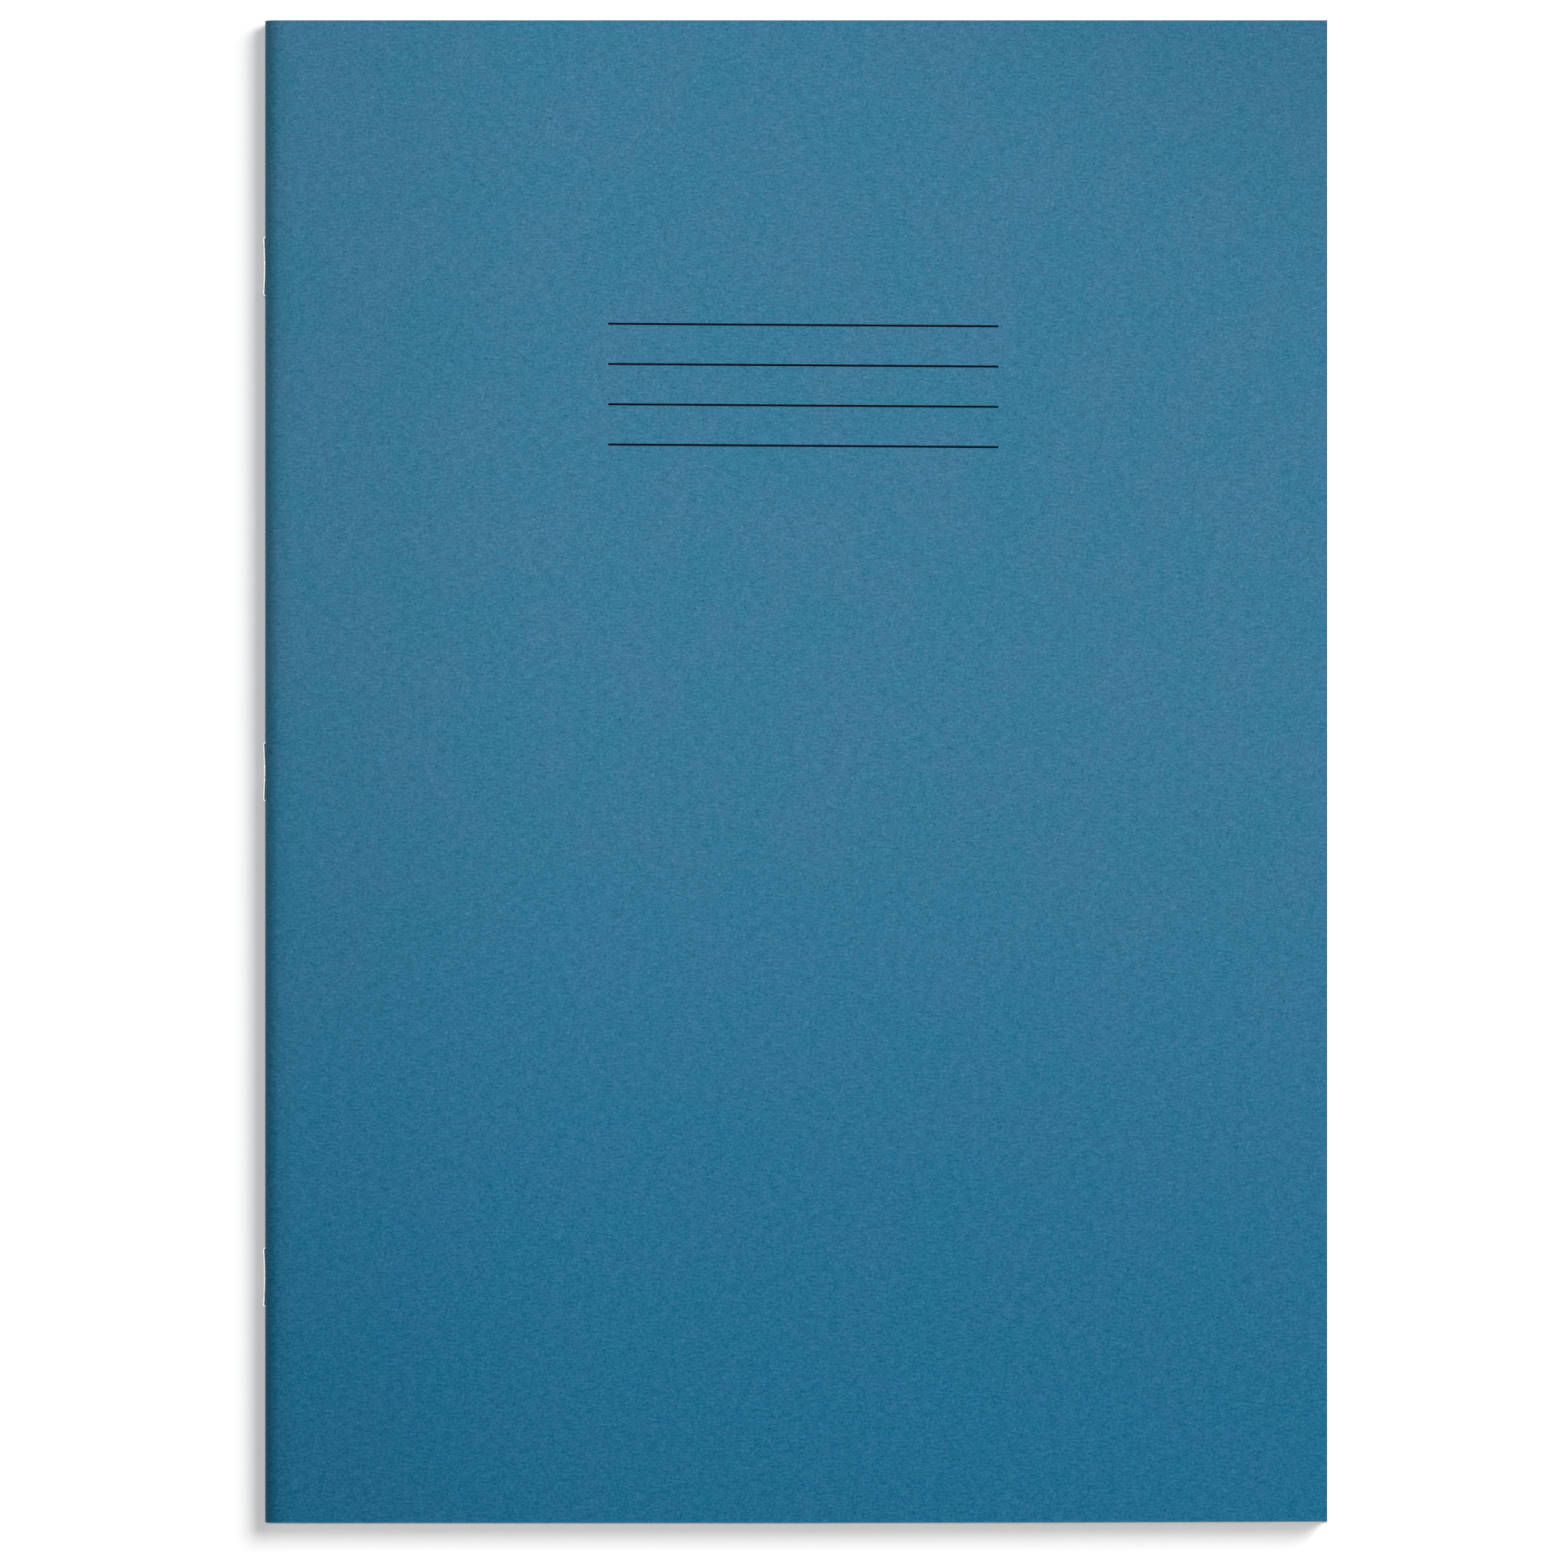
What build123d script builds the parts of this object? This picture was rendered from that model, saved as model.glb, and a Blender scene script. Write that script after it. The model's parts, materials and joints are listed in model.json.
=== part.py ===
from build123d import *
import os
from math import cos, radians, sin

# A stapled A4 exercise book, lying closed with its front cover up.
# X runs from the spine to the fore-edge, Y from the tail to the head and Z up from the surface it lies on.
# The origin is the centre of the closed book's underside.

# Driving dimensions, in millimetres and degrees.
page_width = 210.0  # spine to fore-edge, closed
page_height = 297.0  # head to tail
sheet_count = 16  # folded sheets, each with a front leaf and a back leaf
paper_thickness = 0.10
card_thickness = 0.30  # manilla cover
air_gap = 0.04  # between neighbouring sheets of an unpressed book
wire_diameter = 0.45
wire_clearance = 0.08  # round a staple's legs and its clinched ends
crown_press = 0.12  # depth that the middle of a staple's crown is pressed into the card of the spine
crown_flare = 4.5  # slope of the bowed crown at its corners
seat_gap = 0.02  # between the crown and the groove that it presses
staple_width = 12.0  # over the outside of both legs
staple_pitch = 100.0  # from one staple to the next along the spine
clinch_length = 4.5  # from the outside of a leg to the cut end of the wire
wire_sides = 12  # facets round the wire, which is drawn as a fine prism
staple_names = ("bottom", "middle", "top")

# The wire, bent round its own thickness at every corner.
wire_radius = wire_diameter / 2
bend_radius = wire_diameter
leg_y = staple_width / 2 - wire_radius
leg_slit = wire_diameter + 2 * wire_clearance
crown_half_length = leg_y - bend_radius * (1 + sin(radians(crown_flare)))
crown_radius = crown_half_length / sin(radians(crown_flare))
crown_bow = crown_radius * (1 - cos(radians(crown_flare)))
crown_stand_out = crown_bow + wire_diameter - crown_press

# The folds, half rounds about one axis that the clinched wire lies on.
centre_fold_radius = wire_radius + wire_clearance
sheet_pitch = paper_thickness + air_gap
block_radius = centre_fold_radius + sheet_count * sheet_pitch
spine_radius = block_radius + card_thickness
spine_x = -page_width / 2
fore_edge_x = page_width / 2
fold_x = spine_x + spine_radius
fold_z = spine_radius

# A fold ends in two flat tails, long enough for the open leaves to clear the legs and the open cover
# to clear the crowns.
leaf_tail = wire_radius + wire_clearance
cover_tail = crown_stand_out + wire_clearance

staple_ys = [(i - (len(staple_names) - 1) / 2) * staple_pitch for i in range(len(staple_names))]


def leg_slits():
    """The slits that the staples' legs pierce through the folds, along X at mid-thickness."""
    slit = Box(2 * spine_radius, leg_slit, leg_slit)
    ys = [staple_y + side * leg_y for staple_y in staple_ys for side in (-1, 1)]
    return [Pos(spine_x, y, fold_z) * slit for y in ys]


def fold_strip(inner, thickness, tail):
    """A half-round fold with a flat tail above and below, pierced for the staples."""
    outer = inner + thickness
    outline = [
        Line((tail, outer), (0, outer)),
        CenterArc((0, 0), outer, 90, 180),
        Line((0, -outer), (tail, -outer)),
        Line((tail, -outer), (tail, -inner)),
        Line((tail, -inner), (0, -inner)),
        CenterArc((0, 0), inner, 270, -180),
        Line((0, inner), (tail, inner)),
        Line((tail, inner), (tail, outer)),
    ]
    head = Plane(origin=(fold_x, page_height / 2, fold_z), x_dir=(1, 0, 0), z_dir=(0, -1, 0))
    return extrude(head * make_face(outline), amount=page_height) - leg_slits()


def flat_panel(inner, thickness, tail, side):
    """A flat leaf or cover panel above (side 1) or below (side -1) the fold axis, from its tail to the
    fore-edge, where everything is trimmed flush."""
    crease_x = fold_x + tail
    middle_z = fold_z + side * (inner + thickness / 2)
    outline = Rectangle(fore_edge_x - crease_x, page_height, align=(Align.MIN, Align.CENTER))
    return extrude(Pos(crease_x, 0, middle_z) * outline, amount=thickness / 2, both=True)


def staple(staple_y, radius):
    """A wire staple: a crown that is pressed into the spine at its middle and bows out to its corners, two
    legs through the folds, and ends clinched towards each other along the fold axis."""
    crown_x = spine_x + crown_press - wire_radius
    crown = JernArc((crown_x, staple_y), (0, 1), crown_radius, crown_flare)
    corner = JernArc(crown @ 1, crown % 1, bend_radius, -(90 + crown_flare))
    leg = Line(corner @ 1, (fold_x - bend_radius, staple_y + leg_y))
    clinch_bend = JernArc(leg @ 1, leg % 1, bend_radius, -90)
    clinch = Line(clinch_bend @ 1, (fold_x, staple_y + staple_width / 2 - clinch_length))
    path = Wire([crown, corner, leg, clinch_bend, clinch])
    section = Plane(origin=crown @ 0, z_dir=crown % 0) * RegularPolygon(radius, wire_sides)
    half = sweep(section, path=path)
    both = half + mirror(half, about=Plane.XZ.offset(-staple_y))
    return Pos(0, 0, fold_z) * both


def add_folded_piece(nodes, names, inner, thickness, tail):
    """One folded piece: its front panel, its fold and its back panel, meeting face to face."""
    front, fold, back = names
    nodes[front] = flat_panel(inner, thickness, tail, 1)
    nodes[fold] = fold_strip(inner, thickness, tail)
    nodes[back] = flat_panel(inner, thickness, tail, -1)


nodes = {}
add_folded_piece(
    nodes,
    ("cover_front_panel", "cover_spine_fold", "cover_back_panel"),
    block_radius,
    card_thickness,
    cover_tail,
)
nodes["cover_spine_fold"] -= [staple(staple_y, wire_radius + seat_gap) for staple_y in staple_ys]
for number in range(1, sheet_count + 1):
    sheet = f"sheet_{number:02d}"
    add_folded_piece(
        nodes,
        (f"{sheet}_front_leaf", f"{sheet}_fold", f"{sheet}_back_leaf"),
        centre_fold_radius + (sheet_count - number) * sheet_pitch,
        paper_thickness,
        leaf_tail,
    )
for name, staple_y in zip(staple_names, staple_ys):
    nodes[f"staple_{name}"] = staple(staple_y, wire_radius)

os.makedirs("parts", exist_ok=True)
for name, shape in nodes.items():
    shape.label = name
    export_step(shape, f"parts/{name}.step")

print(f"thickness {2 * spine_radius:.3f}, fold axis at x {fold_x:.3f} z {fold_z:.3f}")
print(f"crown bow {crown_bow:.3f}, crown stands out {crown_stand_out:.3f}")
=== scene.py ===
import json
from math import asin, atan2, copysign, cos, hypot, pi, radians, sin

import bmesh
import bpy
from mathutils import Matrix, Vector


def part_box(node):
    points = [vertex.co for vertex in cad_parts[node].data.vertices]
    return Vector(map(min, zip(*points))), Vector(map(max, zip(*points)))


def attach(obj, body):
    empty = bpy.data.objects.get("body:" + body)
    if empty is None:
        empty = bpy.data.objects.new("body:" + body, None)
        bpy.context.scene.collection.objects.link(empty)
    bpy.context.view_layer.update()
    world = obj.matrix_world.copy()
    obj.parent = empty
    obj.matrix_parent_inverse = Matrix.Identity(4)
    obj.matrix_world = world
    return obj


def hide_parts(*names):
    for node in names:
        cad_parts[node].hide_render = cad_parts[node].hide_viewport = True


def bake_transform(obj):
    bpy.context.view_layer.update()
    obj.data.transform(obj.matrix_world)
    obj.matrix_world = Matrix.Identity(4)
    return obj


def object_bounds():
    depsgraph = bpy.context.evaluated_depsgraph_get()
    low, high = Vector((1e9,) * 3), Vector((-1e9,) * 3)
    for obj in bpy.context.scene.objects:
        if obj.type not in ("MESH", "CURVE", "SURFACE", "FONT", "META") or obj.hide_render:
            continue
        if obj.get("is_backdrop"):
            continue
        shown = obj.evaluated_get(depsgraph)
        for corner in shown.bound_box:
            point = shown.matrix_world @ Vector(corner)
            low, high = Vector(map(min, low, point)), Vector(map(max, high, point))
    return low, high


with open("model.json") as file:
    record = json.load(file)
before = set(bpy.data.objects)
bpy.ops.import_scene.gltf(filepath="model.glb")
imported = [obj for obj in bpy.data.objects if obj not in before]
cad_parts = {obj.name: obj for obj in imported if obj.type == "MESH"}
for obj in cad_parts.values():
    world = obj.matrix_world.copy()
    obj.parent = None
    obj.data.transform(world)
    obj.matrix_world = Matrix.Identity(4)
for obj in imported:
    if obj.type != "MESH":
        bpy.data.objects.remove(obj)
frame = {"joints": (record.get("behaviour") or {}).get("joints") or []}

cad_low, cad_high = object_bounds()

# The sheets: sixteen sheets of smooth white writing paper, printed on both sides with pale blue rules and a
# red margin. They are folded together, one inside the next, and each leaf is made in one with its half of the
# fold. Away from the clinched wire in the centre, the leaves settle until the middle two nearly touch.
sheet_count = 16
fold_line = Vector(next(j["pos_m"] for j in frame["joints"] if j["name"] == "open_at_centre"))
half_height = cad_high.y
fore_edge_x = cad_high.x
staple_boxes = {place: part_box(f"staple_{place}") for place in ("top", "middle", "bottom")}
wire_radius = (staple_boxes["middle"][1].z - staple_boxes["middle"][0].z) / 2
leg_ys = [y for low, high in staple_boxes.values() for y in (low.y + wire_radius, high.y - wire_radius)]
leg_room = 0.00005
slit_half = wire_radius + leg_room
slit_ys = [y + side * slit_half for y in leg_ys for side in (-1, 1)]
slit_steps = 3
fold_steps = 8
centre_gap = fold_line.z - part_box("sheet_16_back_leaf")[1].z
settled_gap = 0.00003
settle_steps = [step / 1000 for step in (1, 2, 4, 6, 9, 12, 15, 18, 22, 26, 30)]
leaf_xs = [fold_line.x + step for step in settle_steps] + [fore_edge_x]
off_sheet = 1.0
paper_white = (0.81, 0.81, 0.79, 1)
paper_shade = (0.77, 0.77, 0.745, 1)
rule_ink = (0.25, 0.42, 0.63, 1)
margin_ink = (0.68, 0.18, 0.20, 1)
rule_pitch = 0.008
rule_half_width = 0.00013
rule_softness = 0.3
rule_edge = (rule_half_width * (1 - rule_softness), rule_half_width * (1 + rule_softness))
head_space = 0.026
tail_space = 0.012
first_rule_y = half_height - head_space
last_rule_y = -half_height + tail_space
margin_near_fold = 0.022
margin_near_fore_edge = -0.187


def verts_in(geom):
    return [e for e in geom if isinstance(e, bmesh.types.BMVert)]


def edges_in(geom):
    return [e for e in geom if isinstance(e, bmesh.types.BMEdge)]


def spun(bm, end, centre, axis, angle, steps):
    """Spins a row of edges about an axis, and gives back its new end."""
    return bmesh.ops.spin(
        bm, geom=end, cent=centre, axis=axis, angle=angle, steps=steps, use_duplicate=False
    )["geom_last"]


def drawn_out(bm, end, axis, place):
    """Draws a row of edges out along one axis as far as a place, and gives back its new end."""
    drawn = bmesh.ops.extrude_edge_only(bm, edges=edges_in(end))["geom"]
    verts = verts_in(drawn)
    for vert in verts:
        setattr(vert.co, axis, place)
    return verts + [e for e in edges_in(drawn) if set(verts).issuperset(e.verts)]


def folded_strip(inner, outer, side, turns, flat_xs, begin=0.0, cuts=()):
    """Half of a folded piece, above (side 1) or below (side -1) the middle of its spine: a line from the tail
    to the head, spun about the fold line, drawn out flat, torn where the staples' legs go through, and
    thickened."""
    bm = bmesh.new()
    spoke = Matrix.Rotation(side * begin, 3, "Y") @ Vector((-inner, 0, 0))
    ys = sorted((-half_height, *cuts, half_height))
    line = [bm.verts.new(fold_line + spoke + Vector((0, y, 0))) for y in ys]
    end = line + [bm.edges.new(pair) for pair in zip(line, line[1:])]
    for sweep, steps in turns:
        end = spun(bm, end, fold_line, (0, side, 0), sweep, steps)
    for x in flat_xs:
        end = drawn_out(bm, end, "x", x)
    torn = []
    for face in bm.faces:
        centre = face.calc_center_median()
        at_leg = any(abs(centre.y - y) < slit_half for y in leg_ys)
        if at_leg and centre.x < fold_line.x and abs(centre.z - fold_line.z) < slit_half:
            torn.append(face)
    bmesh.ops.delete(bm, geom=torn, context="FACES")
    for vert in verts_in(bmesh.ops.extrude_face_region(bm, geom=bm.faces[:])["geom"]):
        out = vert.co - fold_line
        vert.co += Vector((min(out.x, 0), 0, out.z)).normalized() * (outer - inner)
    bmesh.ops.recalc_face_normals(bm, faces=bm.faces)
    return bm


def lay_out(bm, inner, outer, name):
    """Maps a folded piece in metres as it lies unfolded: along it from the middle of its fold, and from tail
    to head. The inner side runs the other way, and the cut edges are off the sheet."""
    middle = (inner + outer) / 2
    square_on = 0.9
    layer = bm.loops.layers.uv.new(name)
    for face in bm.faces:
        centre = face.calc_center_median() - fold_line
        reach = abs(centre.z) if centre.x > 0 else hypot(centre.x, centre.z)
        side = 1 if reach > middle else -1
        cut_edge = abs(face.normal.y) > square_on or (face.normal.x > square_on and centre.x > 0)
        for loop in face.loops:
            out, up = loop.vert.co.x - fold_line.x, loop.vert.co.z - fold_line.z
            along = copysign(out + middle * pi / 2, up) if out > 0 else middle * atan2(up, -out)
            height = loop.vert.co.y
            loop[layer].uv = (along, off_sheet + height) if cut_edge else (side * along, height)


def finished_piece(name, bm, finish):
    """An object of a finished bmesh, smooth but for its cut edges."""
    mesh = bpy.data.meshes.new(name)
    bm.to_mesh(mesh)
    bm.free()
    mesh.shade_smooth()
    mesh.set_sharp_from_angle(angle=radians(40))
    mesh.materials.append(finish)
    piece = bpy.data.objects.new(name, mesh)
    bpy.context.collection.objects.link(piece)
    return piece


def open_at_fold(piece):
    """Bakes the piece's placement into its mesh."""
    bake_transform(piece)


def new_finish(name):
    """A material, its node tree and its shader."""
    finish = bpy.data.materials.new(name)
    finish.use_nodes = True
    return finish, finish.node_tree, finish.node_tree.nodes["Principled BSDF"]


def add(tree, kind, inputs, **settings):
    """A node with its settings, its inputs set to values or joined to other nodes' outputs."""
    made = tree.nodes.new("ShaderNode" + kind)
    for key, value in settings.items():
        setattr(made, key, value)
    for key, value in inputs.items():
        if isinstance(value, bpy.types.NodeSocket):
            tree.links.new(value, made.inputs[key])
        else:
            made.inputs[key].default_value = value
    return made


def maths(tree, operation, *values):
    return add(tree, "Math", dict(enumerate(values)), operation=operation).outputs[0]


def ramp(tree, value, low, high, to_low=0.0, to_high=1.0):
    """A value that goes smoothly from one level to another as its input goes from low to high."""
    levels = {"Value": value, "From Min": low, "From Max": high, "To Min": to_low, "To Max": to_high}
    return add(tree, "MapRange", levels, interpolation_type="SMOOTHSTEP").outputs["Result"]


def mixed(tree, factor, under, over, way="MIX"):
    """One colour over another, by a factor."""
    made = add(tree, "Mix", {0: factor, 6: under, 7: over}, data_type="RGBA", blend_type=way)
    return made.outputs[2]


def cloud(tree, place, scale, detail=2.0, roughness=0.5, stretch=(1, 1, 1), turn=0.0, shift=0.0):
    """Noise that is finer by scale, drawn out and turned along the surface."""
    laid = {"Vector": place, "Location": (shift, shift, 0), "Rotation": (0, 0, turn), "Scale": stretch}
    levels = {"Scale": scale, "Detail": detail, "Roughness": roughness}
    levels["Vector"] = add(tree, "Mapping", laid).outputs[0]
    return add(tree, "TexNoise", levels, noise_dimensions="2D").outputs["Fac"]


def roughen(tree, shader, height, strength, depth):
    """Gives a surface a fine relief."""
    relief = add(tree, "Bump", {"Height": height, "Strength": strength, "Distance": depth})
    tree.links.new(relief.outputs[0], shader.inputs["Normal"])


ruled_paper, tree, shader = new_finish("ruled_writing_paper")
place = add(tree, "UVMap", {}, uv_map="unfolded_sheet").outputs[0]
across, upward, _ = add(tree, "SeparateXYZ", {"Vector": place}).outputs
tooth = cloud(tree, place, 2600, detail=3)
pulp = cloud(tree, place, 120, detail=4, roughness=0.6)
paper = mixed(tree, ramp(tree, pulp, 0.3, 0.7), paper_shade, paper_white)
paper = mixed(tree, maths(tree, "MULTIPLY", ramp(tree, tooth, 0.35, 0.75), 0.3), paper, paper_shade)
from_first = maths(tree, "SUBTRACT", upward, first_rule_y)
from_rule = maths(tree, "ABSOLUTE", maths(tree, "WRAP", from_first, rule_pitch / 2, -rule_pitch / 2))
below_first = maths(tree, "LESS_THAN", upward, first_rule_y + rule_pitch / 2)
above_last = maths(tree, "GREATER_THAN", upward, last_rule_y)
ruled = maths(tree, "MULTIPLY", below_first, above_last)
rule = maths(tree, "MULTIPLY", ramp(tree, from_rule, *rule_edge, to_low=1, to_high=0), ruled)
paper = mixed(tree, rule, paper, rule_ink)
from_inner = maths(tree, "ABSOLUTE", maths(tree, "SUBTRACT", across, margin_near_fold))
from_outer = maths(tree, "ABSOLUTE", maths(tree, "SUBTRACT", across, margin_near_fore_edge))
from_margin = maths(tree, "MINIMUM", from_inner, from_outer)
on_sheet = maths(tree, "LESS_THAN", upward, off_sheet / 2)
margin = maths(tree, "MULTIPLY", ramp(tree, from_margin, *rule_edge, to_low=1, to_high=0), on_sheet)
paper = mixed(tree, margin, paper, margin_ink)
tree.links.new(paper, shader.inputs["Base Color"])
tree.links.new(ramp(tree, tooth, 0.2, 0.8, to_low=0.72, to_high=0.9), shader.inputs["Roughness"])
shader.inputs["Specular IOR Level"].default_value = 0.25
roughen(tree, shader, tooth, strength=0.2, depth=0.00002)

for number in range(1, sheet_count + 1):
    sheet = f"sheet_{number:02d}"
    low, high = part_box(f"{sheet}_fold")
    leaf_low, leaf_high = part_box(f"{sheet}_front_leaf")
    outer = (high.z - low.z) / 2
    inner = outer - (leaf_high.z - leaf_low.z)
    slit = asin(slit_half / inner)
    turns = [(slit, slit_steps), (pi / 2 - slit, fold_steps)]
    settle = (centre_gap - settled_gap) * (number - 1) / (sheet_count - 1)
    for leaf, side, nodes in (("back", -1, ("back_leaf", "fold")), ("front", 1, ("front_leaf",))):
        bm = folded_strip(inner, outer, side, turns, leaf_xs, cuts=slit_ys)
        lay_out(bm, inner, outer, "unfolded_sheet")
        for vert in bm.verts:
            eased = min(max((vert.co.x - fold_line.x - settle_steps[0]) / settle_steps[-1], 0), 1)
            vert.co.z -= side * settle * eased * eased * (3 - 2 * eased)
        piece = finished_piece(f"{sheet}_{leaf}_page", bm, ruled_paper)
        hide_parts(*(f"{sheet}_{node}" for node in nodes))
        open_at_fold(piece)

# The cover: one piece of dyed blue manilla card, uncoated and mottled, with pale fibres and some dark specks.
# It is folded round the sheets, and the front turns again at a soft crease beside the spine. The card is
# worn grey at its edges and cut a little out of square. Its colour holds painted sheen, lighter towards the
# head, and painted shade beside the spine and towards two corners.
fold_low, fold_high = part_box("cover_spine_fold")
panel_low, panel_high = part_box("cover_front_panel")
ink_film = 0.00001
card_outer = (fold_high.z - fold_low.z) / 2 - ink_film
card_inner = (fold_high.z - fold_low.z) / 2 - (panel_high.z - panel_low.z)
card_reach = (card_inner + card_outer) / 2 * pi / 2 + fore_edge_x - fold_line.x
spine_x = fold_line.x - card_outer
spine_steps = 19
crease_half = 0.0008
crease_steps = 4
crease_xs = [fold_line.x + crease_half * step / crease_steps for step in range(1, crease_steps + 1)]
seam = asin(crease_half / card_outer)
seam_steps = 8
middle_x = 0.0
out_of_square = 0.00032
hole = asin(slit_half / card_inner)
hole_steps = 4
hole_room = 0.00004
hole_radius = wire_radius + hole_room
hole_turn = radians(70)
crown_ys = [(low.y + high.y) / 2 for low, high in staple_boxes.values()]
crown_press = 0.00012
crown_radius = 0.0674
crown_reach = 0.0055
crown_end = 0.0062
crown_cuts = [-crown_end, *(step / 1000 for step in range(-5, 6)), crown_end]
dent_half = 0.0011
dent_limit_x = fold_line.x - card_inner * 0.98
seat_room = 0.00002
# Painted sheen: the card is lighter and greyer at the head than at the tail, standing for a lamp's sheen and
# light falling off.
card_head_sheened = (0.0317, 0.184, 0.298, 1)
card_tail_unsheened = (0.0090, 0.142, 0.257, 1)
violet_cast = (1.45, 0.98, 1.02, 1)
fibre_pale = (2.2, 1.45, 1.3, 1)
speck_dark = (0.45, 0.6, 0.65, 1)
edge_grey = (0.055, 0.135, 0.19, 1)
head_sheen_slant = 0.12
run_share = 0.5
flock_share = 0.42
mottle_mean = (1 + run_share + flock_share) / 2
mottle_gain = 0.52
mottle_lift = 0.047
tail_corner_shade_slant = 0.35
head_corner_shade_slant = 0.5
worn_width = 0.0005


def times(tree, colour, factor):
    return mixed(tree, 1.0, colour, factor, "MULTIPLY")


blue_card, tree, shader = new_finish("blue_manilla_card")
place = add(tree, "UVMap", {}, uv_map="unfolded_card").outputs[0]
across, upward, _ = add(tree, "SeparateXYZ", {"Vector": place}).outputs
from_spine = maths(tree, "ABSOLUTE", across)
grain = cloud(tree, place, 1950, detail=2, roughness=0.55, stretch=(0.95, 1.2, 1), turn=0.15)
flock = cloud(tree, place, 520, detail=3, roughness=0.55, turn=-0.4, shift=0.31)
run = cloud(tree, place, 1100, detail=2, stretch=(0.4, 2.6, 1), turn=0.04, shift=0.47)
drift = cloud(tree, place, 60, detail=5, roughness=0.62, turn=0.3, shift=0.7)
tinge = cloud(tree, place, 450, detail=1, turn=0.2, shift=0.9)
# Painted sheen and light fall-off: the card's colour goes from lighter at the head to darker at the tail.
head_sheen = ramp(tree, maths(tree, "MULTIPLY_ADD", across, head_sheen_slant, upward), -0.135, 0.062)
card = mixed(tree, head_sheen, card_tail_unsheened, card_head_sheened)
cast = maths(tree, "MULTIPLY_ADD", tinge, 0.5, drift)
card = mixed(tree, ramp(tree, cast, 0.5, 1.0), card, violet_cast, "MULTIPLY")
streaked = maths(tree, "MULTIPLY_ADD", run, run_share, grain)
mottle = maths(tree, "MULTIPLY_ADD", flock, flock_share, streaked)
gain = maths(tree, "MULTIPLY_ADD", mottle, mottle_gain, 1 - mottle_gain * mottle_mean)
lift = maths(tree, "MULTIPLY_ADD", mottle, mottle_lift, -mottle_lift * mottle_mean)
card = mixed(tree, 1.0, times(tree, card, gain), lift, "ADD")
for turn, shift in ((0.15, 0.13), (-0.4, 0.57), (1.2, 0.83)):
    strand = cloud(tree, place, 700, detail=1, stretch=(0.8, 9, 1), turn=turn, shift=shift)
    card = mixed(tree, ramp(tree, strand, 0.72, 0.84, to_high=0.5), card, fibre_pale, "MULTIPLY")
scratch = cloud(tree, place, 600, detail=1, stretch=(0.9, 12, 1), turn=0.55, shift=0.37)
card = mixed(tree, ramp(tree, scratch, 0.78, 0.86, to_high=0.5), card, speck_dark, "MULTIPLY")
fleck = cloud(tree, place, 1900, detail=0, turn=0.8, shift=0.41)
card = mixed(tree, ramp(tree, fleck, 0.76, 0.90, to_high=0.6), card, fibre_pale, "MULTIPLY")
speck = cloud(tree, place, 1400, detail=0, turn=0.5, shift=0.21)
card = mixed(tree, ramp(tree, speck, 0.86, 0.93), card, speck_dark, "MULTIPLY")
# Painted shade: darker within a few millimetres of the spine, where the rounded spine turns from the light,
# and a little darker across the width towards the spine.
spine_roll_shade = ramp(tree, from_spine, 0.003, 0.008, to_low=0.872)
spine_side_shade = ramp(tree, from_spine, 0, 0.07, to_low=0.915, to_high=1.015)
card = times(tree, card, maths(tree, "MULTIPLY", spine_roll_shade, spine_side_shade))
# Painted shade: darker towards the tail corner beside the spine and towards the head corner at the fore-edge,
# where the light falls off.
tail_corner_shade = maths(tree, "MULTIPLY_ADD", from_spine, tail_corner_shade_slant, upward)
card = times(tree, card, ramp(tree, tail_corner_shade, -0.165, -0.07, to_low=0.88))
head_corner_shade = maths(tree, "MULTIPLY_ADD", from_spine, head_corner_shade_slant, upward)
card = times(tree, card, ramp(tree, head_corner_shade, 0.19, 0.26, to_low=1, to_high=0.90))
past_fore_edge = maths(tree, "SUBTRACT", from_spine, card_reach)
past_ends = maths(tree, "SUBTRACT", maths(tree, "ABSOLUTE", upward), half_height)
to_edge = ramp(tree, maths(tree, "MAXIMUM", past_fore_edge, past_ends), -worn_width, 0, to_high=0.7)
worn = maths(tree, "MULTIPLY", to_edge, ramp(tree, flock, 0.3, 0.6, to_low=0.3))
card = mixed(tree, worn, card, edge_grey)
tree.links.new(card, shader.inputs["Base Color"])
tree.links.new(ramp(tree, flock, 0.2, 0.8, to_low=0.48, to_high=0.62), shader.inputs["Roughness"])
shader.inputs["Specular IOR Level"].default_value = 0.05
height = maths(tree, "ADD", grain, maths(tree, "MULTIPLY", flock, 0.8))
roughen(tree, shader, height, strength=0.35, depth=0.00004)


def round_holes(bm):
    """Makes the tears at the staples' legs round."""
    nearly = 1.01
    for vert in bm.verts:
        up = vert.co.z - fold_line.z
        radius = hypot(vert.co.x - fold_line.x, up)
        around = asin(up / radius)
        if vert.co.x > fold_line.x or abs(around) > hole * nearly:
            continue
        for y in leg_ys:
            offset = vert.co.y - y
            if abs(offset) > slit_half * nearly:
                continue
            turn = around / hole * hole_turn
            rise = hole_radius * sin(turn)
            vert.co = (
                fold_line.x - (radius * radius - rise * rise) ** 0.5,
                y + copysign(hole_radius * cos(turn), offset),
                fold_line.z + rise,
            )
            break


def press_crowns(bm):
    """Presses the card in where the middle of each staple's crown lies on it."""
    for vert in bm.verts:
        up = vert.co.z - fold_line.z
        for y in crown_ys:
            offset = vert.co.y - y
            if abs(offset) > crown_reach or abs(up) > dent_half or vert.co.x > dent_limit_x:
                continue
            wire_x = spine_x + crown_press - wire_radius - offset * offset / (2 * crown_radius)
            seat = max((wire_radius + seat_room) ** 2 - up * up, 0)
            ease = (1 - (up / dent_half) ** 2) ** 2
            dent = max(wire_x + wire_radius - spine_x, 0) * ease
            vert.co.x = max(vert.co.x + dent, wire_x + seat ** 0.5 if seat else vert.co.x)


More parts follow.
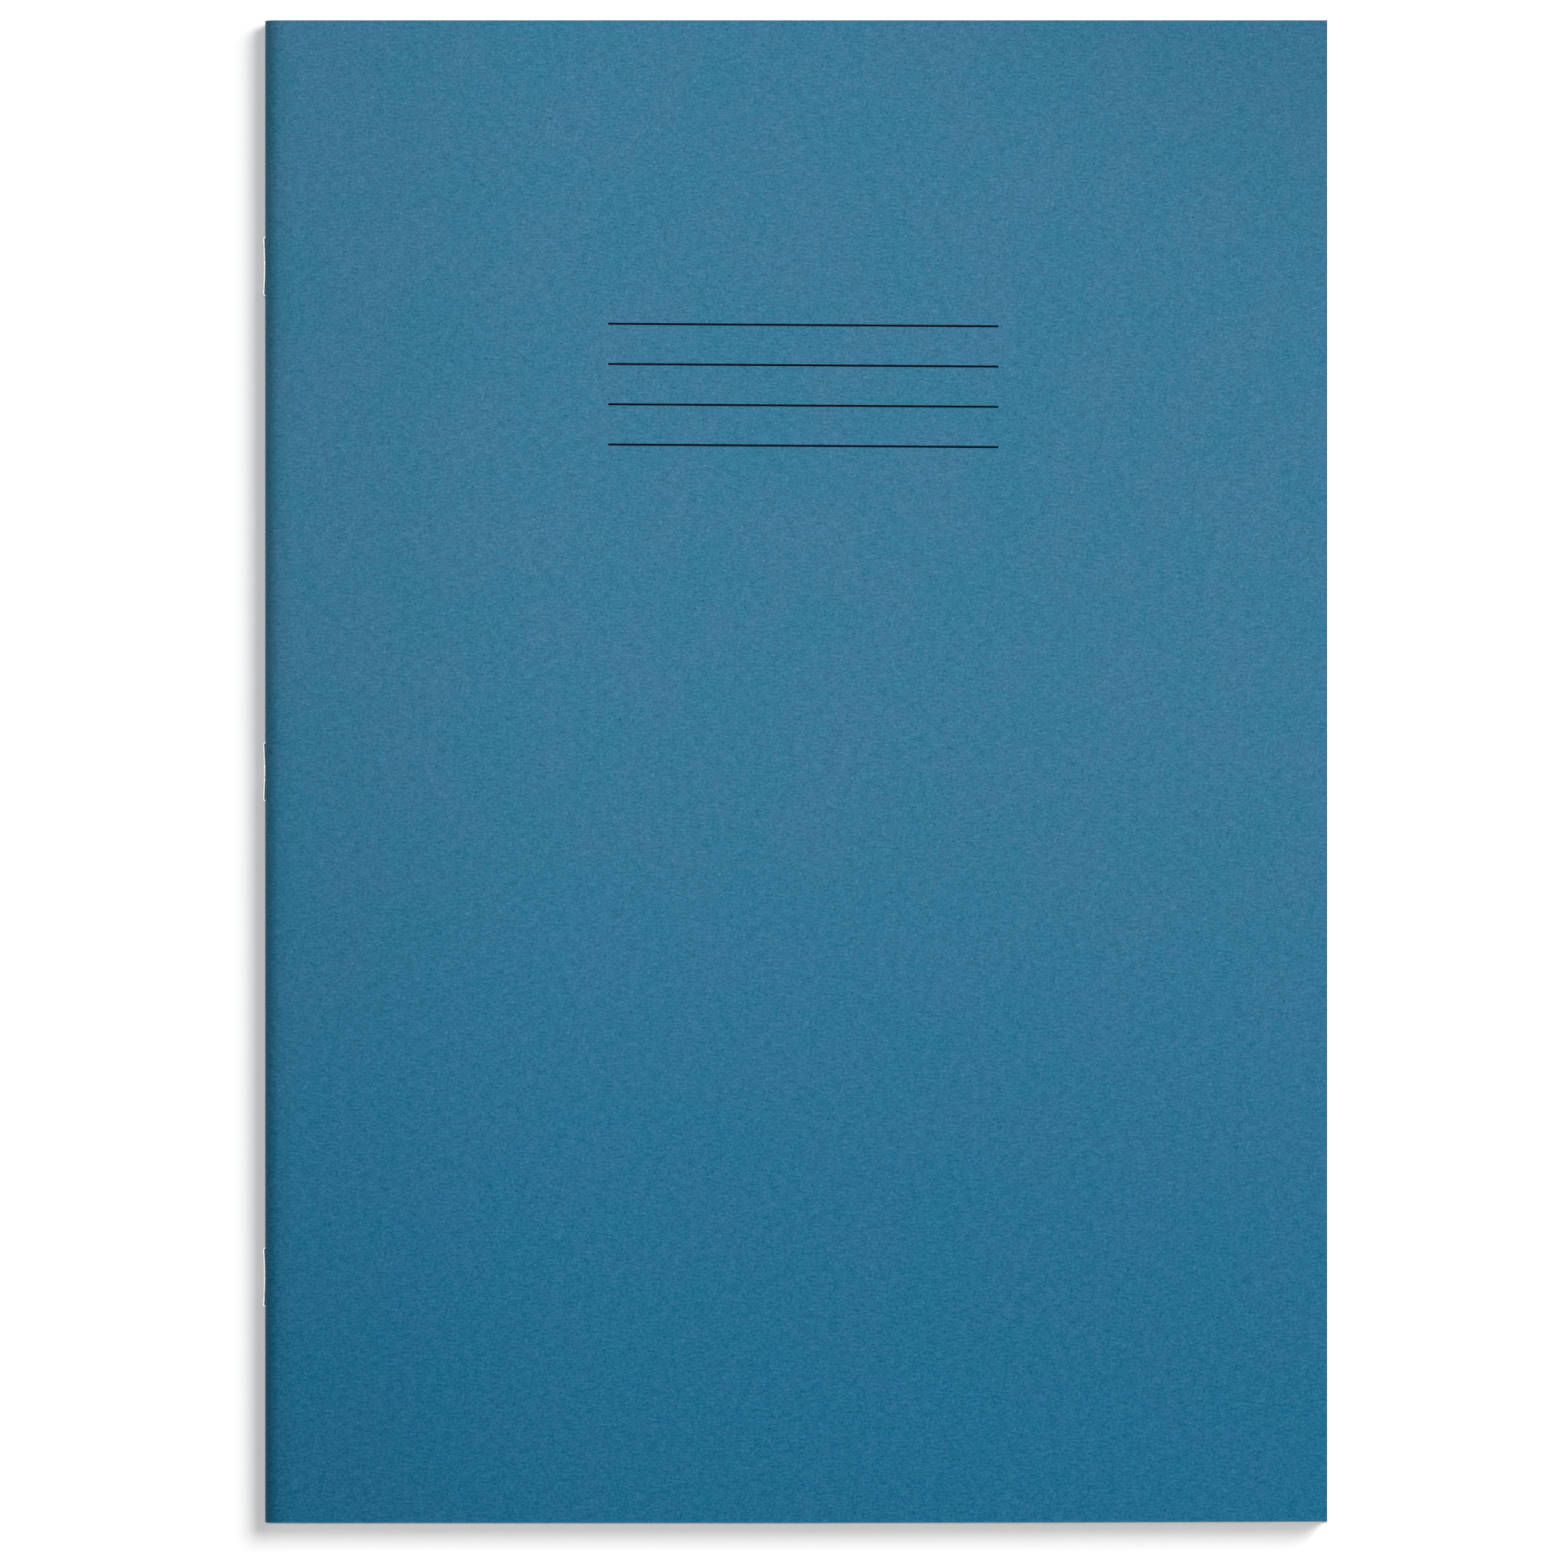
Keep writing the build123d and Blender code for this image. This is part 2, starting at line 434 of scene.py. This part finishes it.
cuts = slit_ys + [y + cut for y in crown_ys for cut in crown_cuts]
for name, node, side, flat_xs, end in (
    ("cover_back", "cover_back_panel", -1, [fore_edge_x], 0.0),
    ("cover_spine", "cover_spine_fold", 1, [], seam),
):
    turns = [(hole, hole_steps), (pi / 2 - hole - end, spine_steps)]
    bm = folded_strip(card_inner, card_outer, side, turns, flat_xs, cuts=cuts)
    round_holes(bm)
    lay_out(bm, card_inner, card_outer, "unfolded_card")
    press_crowns(bm)
    piece = finished_piece(name, bm, blue_card)
    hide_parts(node)
    open_at_fold(piece)

flat_xs = [*crease_xs, middle_x, fore_edge_x]
bm = folded_strip(card_inner, card_outer, 1, [(seam, seam_steps)], flat_xs, begin=pi / 2 - seam)
lay_out(bm, card_inner, card_outer, "unfolded_card")
for vert in bm.verts:
    if vert.co.y < 0:
        vert.co.y += out_of_square * max(vert.co.x, 0) / fore_edge_x
piece = finished_piece("cover_front", bm, blue_card)
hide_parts("cover_front_panel")
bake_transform(piece)

# The writing rules on the front cover: four thin black lines in the upper half, printed on the card slightly
# out of square with it, so they fall a little towards the fore-edge.
line_count = 4
line_left = spine_x + 0.0679
line_right = spine_x + 0.1450
line_pitch = 0.007957
first_line_y = half_height - 0.06023
line_tilt = radians(-0.39)
line_width = 0.00042
ink_black = (0.0005, 0.001, 0.002, 1)
ink_worn = (0.001, 0.005, 0.010, 1)

printed_ink, tree, shader = new_finish("printed_black_ink")
place = add(tree, "TexCoord", {}).outputs["Object"]
lay = cloud(tree, place, 2400, detail=2)
tree.links.new(mixed(tree, ramp(tree, lay, 0.4, 0.8), ink_black, ink_worn), shader.inputs["Base Color"])
tree.links.new(ramp(tree, lay, 0.2, 0.8, to_low=0.5, to_high=0.75), shader.inputs["Roughness"])
shader.inputs["Specular IOR Level"].default_value = 0.03

bm = bmesh.new()
shape = Matrix.Diagonal((line_right - line_left, line_width, 2 * ink_film, 1))
for number in range(line_count):
    y = first_line_y - line_pitch * number
    middle = Vector(((line_left + line_right) / 2, y, fold_line.z + card_outer))
    laid = Matrix.Translation(middle) @ Matrix.Rotation(line_tilt, 4, "Z") @ shape
    bmesh.ops.create_cube(bm, size=1, matrix=laid)
piece = finished_piece("cover_writing_rules", bm, printed_ink)
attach(piece, "front_cover")

# The staples: three lengths of bright drawn steel wire, driven through the spine from outside. The middle of
# each crown is pressed into the card and its corners stand a little proud. The legs go through every fold and
# are clinched flat towards each other in the centre of the book.
wire_facets = 20
bend_radius = 2 * wire_radius
crown_flare = radians(4.5)
crown_x = spine_x + crown_press - wire_radius
crown_steps = 10
corner_steps = 12
clinch_length = 0.0045
clinch_steps = 10
mirror_weld = 0.00001
wire_weld = 0.000001
wire_bright = (0.64, 0.64, 0.63, 1)
wire_dull = (0.52, 0.52, 0.51, 1)

drawn_wire, tree, shader = new_finish("bright_drawn_wire")
place = add(tree, "TexCoord", {}).outputs["Object"]
tarnish = cloud(tree, place, 2200, detail=3, roughness=0.6)
steel = mixed(tree, ramp(tree, tarnish, 0.35, 0.75), wire_bright, wire_dull)
tree.links.new(steel, shader.inputs["Base Color"])
tree.links.new(ramp(tree, tarnish, 0.3, 0.8, to_low=0.34, to_high=0.44), shader.inputs["Roughness"])
shader.inputs["Metallic"].default_value = 1.0


def middle_of(end):
    ring = verts_in(end)
    return sum((v.co for v in ring), Vector()) / len(ring)


for place, (low, high) in staple_boxes.items():
    middle_y = (low.y + high.y) / 2
    leg_y = high.y - wire_radius
    bm = bmesh.new()
    across_wire = Matrix.Translation((crown_x, middle_y, fold_line.z)) @ Matrix.Rotation(pi / 2, 4, "X")
    bmesh.ops.create_circle(bm, segments=wire_facets, radius=wire_radius, matrix=across_wire)
    end = bm.verts[:] + bm.edges[:]
    crown_half = leg_y - middle_y - bend_radius * (1 + crown_flare)
    crown_centre = Vector((crown_x - crown_half / crown_flare, middle_y, fold_line.z))
    end = spun(bm, end, crown_centre, (0, 0, 1), crown_flare, crown_steps)
    corner = middle_of(end) + Matrix.Rotation(crown_flare, 3, "Z") @ Vector((bend_radius, 0, 0))
    end = spun(bm, end, corner, (0, 0, 1), -(pi / 2 + crown_flare), corner_steps)
    end = drawn_out(bm, end, "x", fold_line.x - bend_radius)
    bend = middle_of(end) - Vector((0, bend_radius, 0))
    end = spun(bm, end, bend, (0, 0, 1), -pi / 2, clinch_steps)
    end = drawn_out(bm, end, "y", high.y - clinch_length)
    bmesh.ops.edgeloop_fill(bm, edges=edges_in(end))
    half = bm.verts[:] + bm.edges[:] + bm.faces[:]
    middle = Matrix.Translation((0, -middle_y, 0))
    bmesh.ops.mirror(bm, geom=half, matrix=middle, axis="Y", merge_dist=mirror_weld)
    bmesh.ops.remove_doubles(bm, verts=bm.verts, dist=wire_weld)
    bmesh.ops.recalc_face_normals(bm, faces=bm.faces)
    piece = finished_piece(f"wire_staple_{place}", bm, drawn_wire)
    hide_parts(f"staple_{place}")
    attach(piece, "spine")

# The setting: the book lies on a plain white table, seen from straight above its middle, in the light of a
# large soft lamp beyond its upper right corner, one straight overhead and a bright room. Close under the book
# the table is clear, and the room shines from below, so that the underside can be seen.
table_white = (0.90, 0.90, 0.90, 1)
table_glow = 0.10
table_drop = 0.00005
table_half = 4
underside_gap = 0.00012
room_white = (1, 1, 1, 1)
room_fill = 0.15


def seen_rays(tree, ray):
    """1 for the rays that show a surface to the viewer, directly or in a reflection."""
    mirrored = maths(tree, "MAXIMUM", ray["Is Glossy Ray"], ray["Is Transmission Ray"])
    return maths(tree, "MAXIMUM", ray["Is Camera Ray"], mirrored)


table_finish, tree, shader = new_finish("white_table")
shader.inputs["Base Color"].default_value = table_white
shader.inputs["Roughness"].default_value = 0.9
shader.inputs["Specular IOR Level"].default_value = 0.0
shader.inputs["Emission Color"].default_value = room_white
ray = add(tree, "LightPath", {}).outputs
glow = maths(tree, "MULTIPLY", seen_rays(tree, ray), table_glow)
tree.links.new(glow, shader.inputs["Emission Strength"])
under = add(tree, "NewGeometry", {}).outputs["Backfacing"]
clear = maths(tree, "MAXIMUM", under, maths(tree, "LESS_THAN", ray["Ray Length"], underside_gap))
see_through = add(tree, "BsdfTransparent", {}).outputs[0]
both = add(tree, "MixShader", {0: clear, 1: shader.outputs[0], 2: see_through}).outputs[0]
tree.links.new(both, tree.nodes["Material Output"].inputs["Surface"])
bm = bmesh.new()
dropped = Matrix.Translation((0, 0, -table_drop))
bmesh.ops.create_grid(bm, x_segments=1, y_segments=1, size=table_half, matrix=dropped)
finished_piece("table_top", bm, table_finish)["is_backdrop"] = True

for name, energy, spread, direction in (
    ("key_lamp", 2.55, 30, (0.87, 0.66, 1)),
    ("overhead_lamp", 1.0, 10, (0.02, 0.05, 1)),
):
    lamp = bpy.data.objects.new(name, bpy.data.lights.new(name, "SUN"))
    lamp.data.energy = energy
    lamp.data.angle = radians(spread)
    lamp.rotation_mode = "QUATERNION"
    lamp.rotation_quaternion = Vector(direction).to_track_quat("Z", "Y")
    bpy.context.collection.objects.link(lamp)

room = bpy.data.worlds.new("bright_room")
room.use_nodes = True
tree = room.node_tree
background = tree.nodes["Background"]
background.inputs["Color"].default_value = room_white
ray = add(tree, "LightPath", {}).outputs
upward = add(tree, "SeparateXYZ", {"Vector": add(tree, "TexCoord", {}).outputs["Generated"]}).outputs["Z"]
lit = maths(tree, "MAXIMUM", seen_rays(tree, ray), maths(tree, "LESS_THAN", upward, 0.0))
strength = maths(tree, "MULTIPLY_ADD", lit, 1 - room_fill, room_fill)
tree.links.new(strength, background.inputs["Strength"])
bpy.context.scene.world = room

view = bpy.data.objects.new("camera_above", bpy.data.cameras.new("camera_above"))
view.data.lens = 250.25
view.data.sensor_width = 36
view.location = (-0.00235, -0.00243, 2.1596)
bpy.context.collection.objects.link(view)
bpy.context.scene.camera = view
bpy.context.scene.view_settings.view_transform = "Standard"

low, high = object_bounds()
